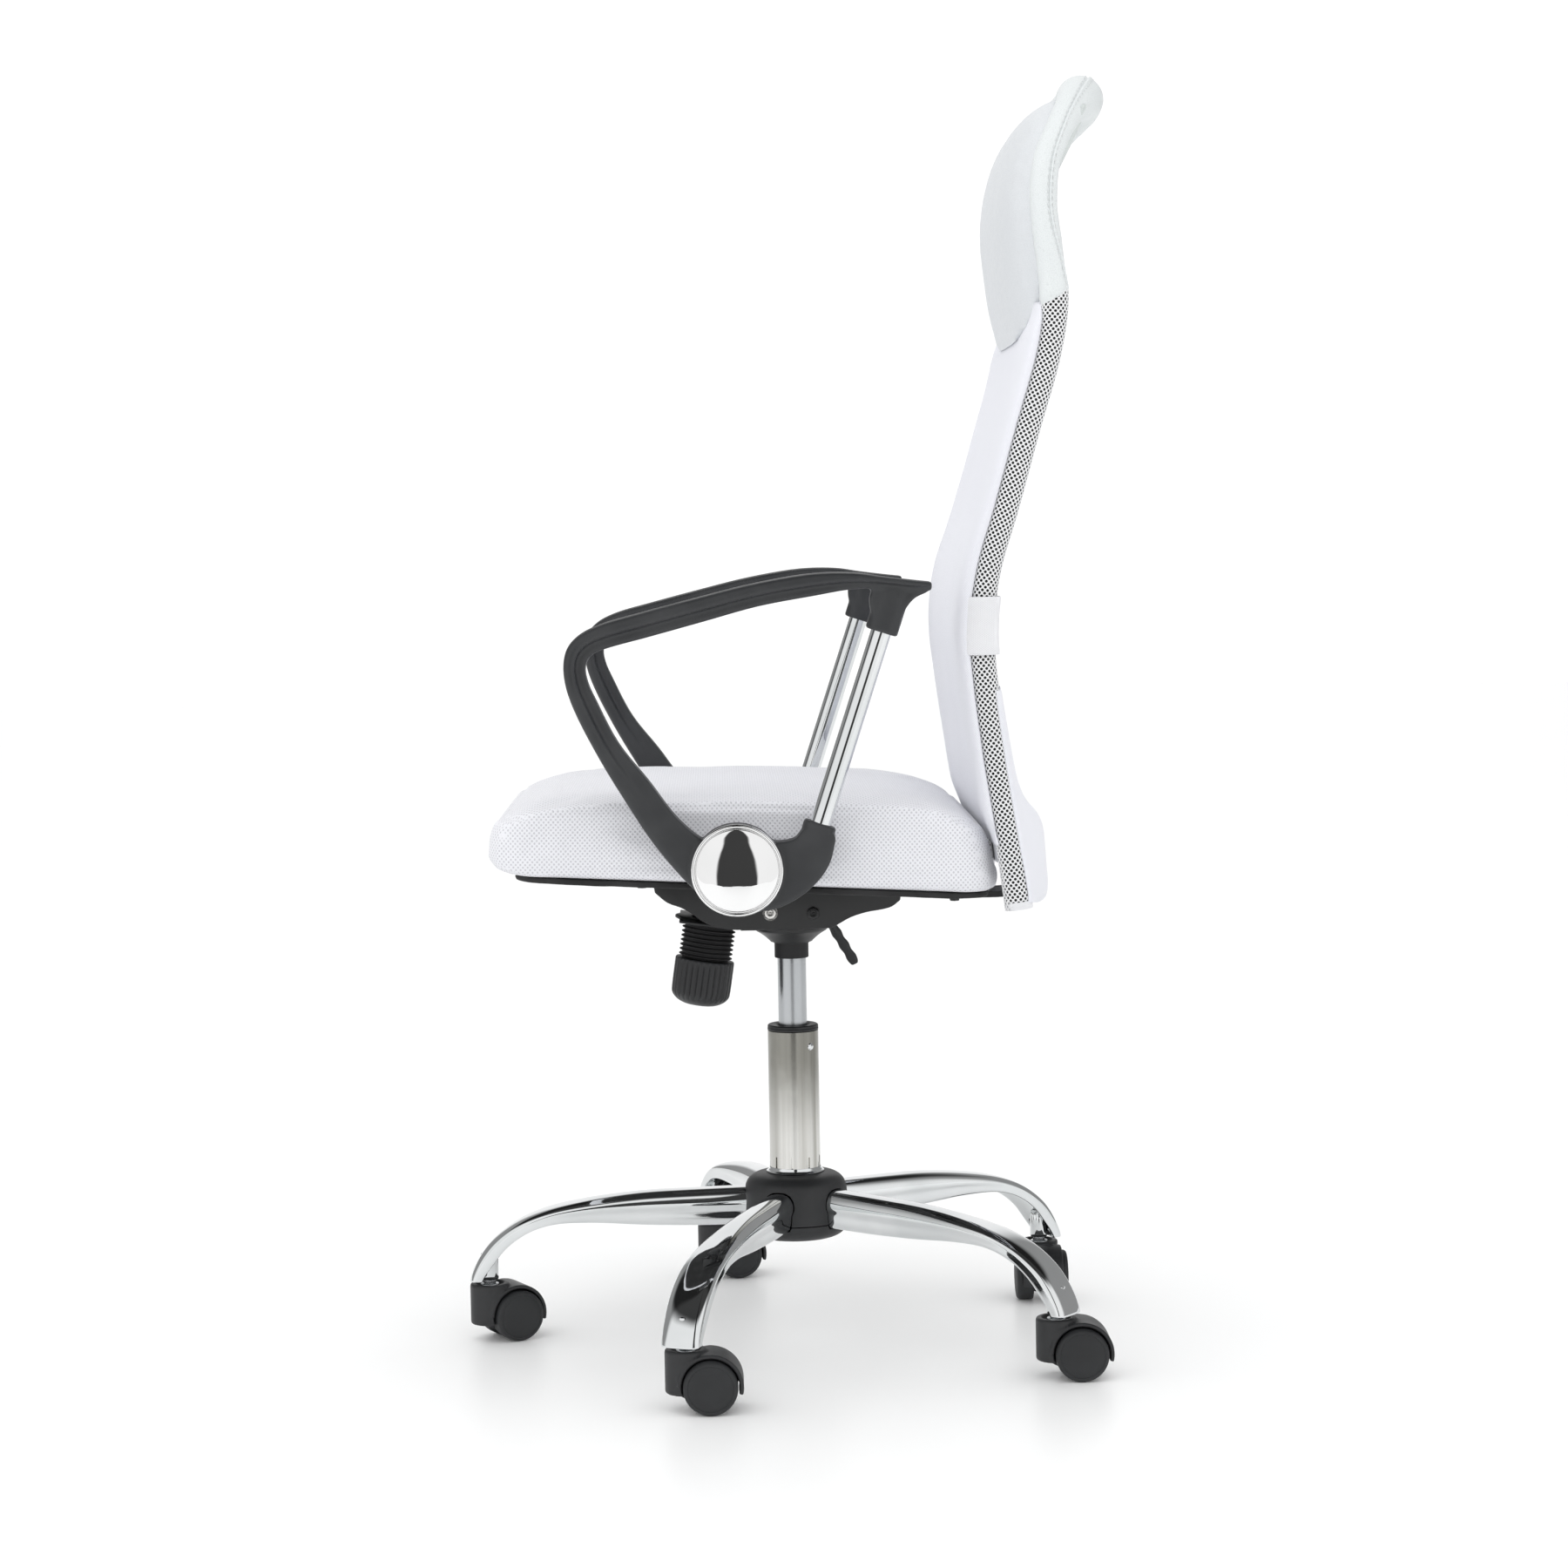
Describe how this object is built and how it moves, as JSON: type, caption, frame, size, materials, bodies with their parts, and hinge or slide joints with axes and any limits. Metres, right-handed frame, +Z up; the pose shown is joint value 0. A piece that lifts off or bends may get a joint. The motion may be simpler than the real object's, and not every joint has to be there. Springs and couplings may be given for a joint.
{
  "type": "swivel office chair",
  "caption": "High-back swivel office chair with mesh back, padded headrest, loop arms, gas lift, tilt mechanism and a five-star base on twin-wheel casters.",
  "frame": {"origin": "the point on the floor under the column's axis, at the middle of the chair's footprint", "axes": "+Z up; the sitter faces -Y; +X is the sitter's left, -X the sitter's right with the lift lever"},
  "size_m": [0.6364, 0.634, 1.22],
  "materials": {
    "chrome": "polished chrome plate on steel tube",
    "steel": "ground steel",
    "black_steel": "satin black powder coat",
    "black_plastic": "satin moulded nylon",
    "charcoal_plastic": "fine-grained moulded plastic",
    "rubber": "matt black rubber",
    "board": "plywood under black felt",
    "seat_fabric": "white spacer mesh over foam",
    "back_fabric": "white knitted mesh",
    "leather": "white synthetic leather, stitched"
  },
  "bodies": {
    "base": {"hub_socket": "black_steel", "hub_cover_upper": "black_plastic", "hub_cover_lower": "black_plastic", "base_leg_1": "chrome", "base_leg_2": "chrome", "base_leg_3": "chrome", "base_leg_4": "chrome", "base_leg_5": "chrome", "column_tube": "chrome", "column_bush": "black_plastic", "thrust_bearing": "steel"},
    "piston": {"piston_rod": "steel"},
    "lift": {"gas_cylinder": "steel", "cylinder_collar": "rubber", "mechanism_core": "black_steel", "pivot_pin": "steel"},
    "tilt": {"tilt_plate": "black_steel", "stop_pin": "black_steel", "tension_bellows": "rubber", "tension_bolt": "steel", "seat_board": "board", "seat_cushion": "seat_fabric", "arm_strap": "black_steel", "arm_loop_left": "charcoal_plastic", "arm_tube_left": "chrome", "arm_disc_left": "chrome", "arm_loop_right": "charcoal_plastic", "arm_tube_right": "chrome", "arm_disc_right": "chrome", "back_frame": "black_steel", "back_cross_bar": "black_steel", "back_bracket": "black_steel", "back_panel": "back_fabric", "rear_cover": "back_fabric", "lumbar_strap": "back_fabric", "headrest_cover": "leather", "headrest_pad": "leather"},
    "knob": {"tension_knob": "black_plastic"},
    "lever_pivot": {"lever_bush": "black_plastic"},
    "lever": {"lift_lever": "black_plastic"},
    "caster_1": {"caster_stem_1": "steel", "caster_hood_1": "black_plastic"},
    "wheel_1_a": {"caster_wheel_1_a": "charcoal_plastic"},
    "wheel_1_b": {"caster_wheel_1_b": "charcoal_plastic"},
    "caster_2": {"caster_stem_2": "steel", "caster_hood_2": "black_plastic"},
    "wheel_2_a": {"caster_wheel_2_a": "charcoal_plastic"},
    "wheel_2_b": {"caster_wheel_2_b": "charcoal_plastic"},
    "caster_3": {"caster_stem_3": "steel", "caster_hood_3": "black_plastic"},
    "wheel_3_a": {"caster_wheel_3_a": "charcoal_plastic"},
    "wheel_3_b": {"caster_wheel_3_b": "charcoal_plastic"},
    "caster_4": {"caster_stem_4": "steel", "caster_hood_4": "black_plastic"},
    "wheel_4_a": {"caster_wheel_4_a": "charcoal_plastic"},
    "wheel_4_b": {"caster_wheel_4_b": "charcoal_plastic"},
    "caster_5": {"caster_stem_5": "steel", "caster_hood_5": "black_plastic"},
    "wheel_5_a": {"caster_wheel_5_a": "charcoal_plastic"},
    "wheel_5_b": {"caster_wheel_5_b": "charcoal_plastic"}
  },
  "joints": [
    {"name": "swivel", "type": "hinge", "parent": "base", "child": "piston", "pos_m": [0, 0, 0.11], "axis": [0, 0, 1], "continuous": true},
    {"name": "lift", "type": "slide", "parent": "piston", "child": "lift", "axis": [0, 0, 1], "range_m": [-0.055, 0.04]},
    {"name": "tilt", "type": "hinge", "parent": "lift", "child": "tilt", "pos_m": [0, -0.021, 0.427], "axis": [-1, 0, 0], "range_deg": [0, 15], "stiffness_Nm_per_rad": 90, "springref_deg": -20.05},
    {"name": "tension_knob", "type": "hinge", "parent": "tilt", "child": "knob", "pos_m": [0, -0.085, 0.378], "axis": [0, 0.1478, 0.989], "continuous": true},
    {"name": "lever_lift", "type": "hinge", "parent": "tilt", "child": "lever_pivot", "pos_m": [-0.0505, 0.038, 0.437], "axis": [0, 1, 0], "range_deg": [0, 8], "stiffness_Nm_per_rad": 3, "springref_deg": -6.88},
    {"name": "lever_pull", "type": "slide", "parent": "lever_pivot", "child": "lever", "axis": [-1, 0, 0], "range_m": [0, 0.012]},
    {"name": "caster_swivel_1", "type": "hinge", "parent": "base", "child": "caster_1", "pos_m": [0.28531, -0.10781, 0.07], "axis": [0, 0, 1], "continuous": true},
    {"name": "wheel_spin_1_a", "type": "hinge", "parent": "caster_1", "child": "wheel_1_a", "pos_m": [0.28531, -0.08581, 0.025], "axis": [1, 0, 0], "continuous": true},
    {"name": "wheel_spin_1_b", "type": "hinge", "parent": "caster_1", "child": "wheel_1_b", "pos_m": [0.28531, -0.08581, 0.025], "axis": [1, 0, 0], "continuous": true},
    {"name": "caster_swivel_2", "type": "hinge", "parent": "base", "child": "caster_2", "pos_m": [0.1907, 0.23803, 0.07], "axis": [0, 0, 1], "continuous": true},
    {"name": "wheel_spin_2_a", "type": "hinge", "parent": "caster_2", "child": "wheel_2_a", "pos_m": [0.1907, 0.26003, 0.025], "axis": [1, 0, 0], "continuous": true},
    {"name": "wheel_spin_2_b", "type": "hinge", "parent": "caster_2", "child": "wheel_2_b", "pos_m": [0.1907, 0.26003, 0.025], "axis": [1, 0, 0], "continuous": true},
    {"name": "caster_swivel_3", "type": "hinge", "parent": "base", "child": "caster_3", "pos_m": [-0.16745, 0.25492, 0.07], "axis": [0, 0, 1], "continuous": true},
    {"name": "wheel_spin_3_a", "type": "hinge", "parent": "caster_3", "child": "wheel_3_a", "pos_m": [-0.14545, 0.25492, 0.025], "axis": [0, -1, 0], "continuous": true},
    {"name": "wheel_spin_3_b", "type": "hinge", "parent": "caster_3", "child": "wheel_3_b", "pos_m": [-0.14545, 0.25492, 0.025], "axis": [0, -1, 0], "continuous": true},
    {"name": "caster_swivel_4", "type": "hinge", "parent": "base", "child": "caster_4", "pos_m": [-0.29419, -0.08048, 0.07], "axis": [0, 0, 1], "continuous": true},
    {"name": "wheel_spin_4_a", "type": "hinge", "parent": "caster_4", "child": "wheel_4_a", "pos_m": [-0.29611, -0.05856, 0.025], "axis": [0.9962, 0.0872, 0], "continuous": true},
    {"name": "wheel_spin_4_b", "type": "hinge", "parent": "caster_4", "child": "wheel_4_b", "pos_m": [-0.29611, -0.05856, 0.025], "axis": [0.9962, 0.0872, 0], "continuous": true},
    {"name": "caster_swivel_5", "type": "hinge", "parent": "base", "child": "caster_5", "pos_m": [-0.01437, -0.30466, 0.07], "axis": [0, 0, 1], "continuous": true},
    {"name": "wheel_spin_5_a", "type": "hinge", "parent": "caster_5", "child": "wheel_5_a", "pos_m": [-0.0247, -0.28524, 0.025], "axis": [0.8829, 0.4695, 0], "continuous": true},
    {"name": "wheel_spin_5_b", "type": "hinge", "parent": "caster_5", "child": "wheel_5_b", "pos_m": [-0.0247, -0.28524, 0.025], "axis": [0.8829, 0.4695, 0], "continuous": true}
  ]
}
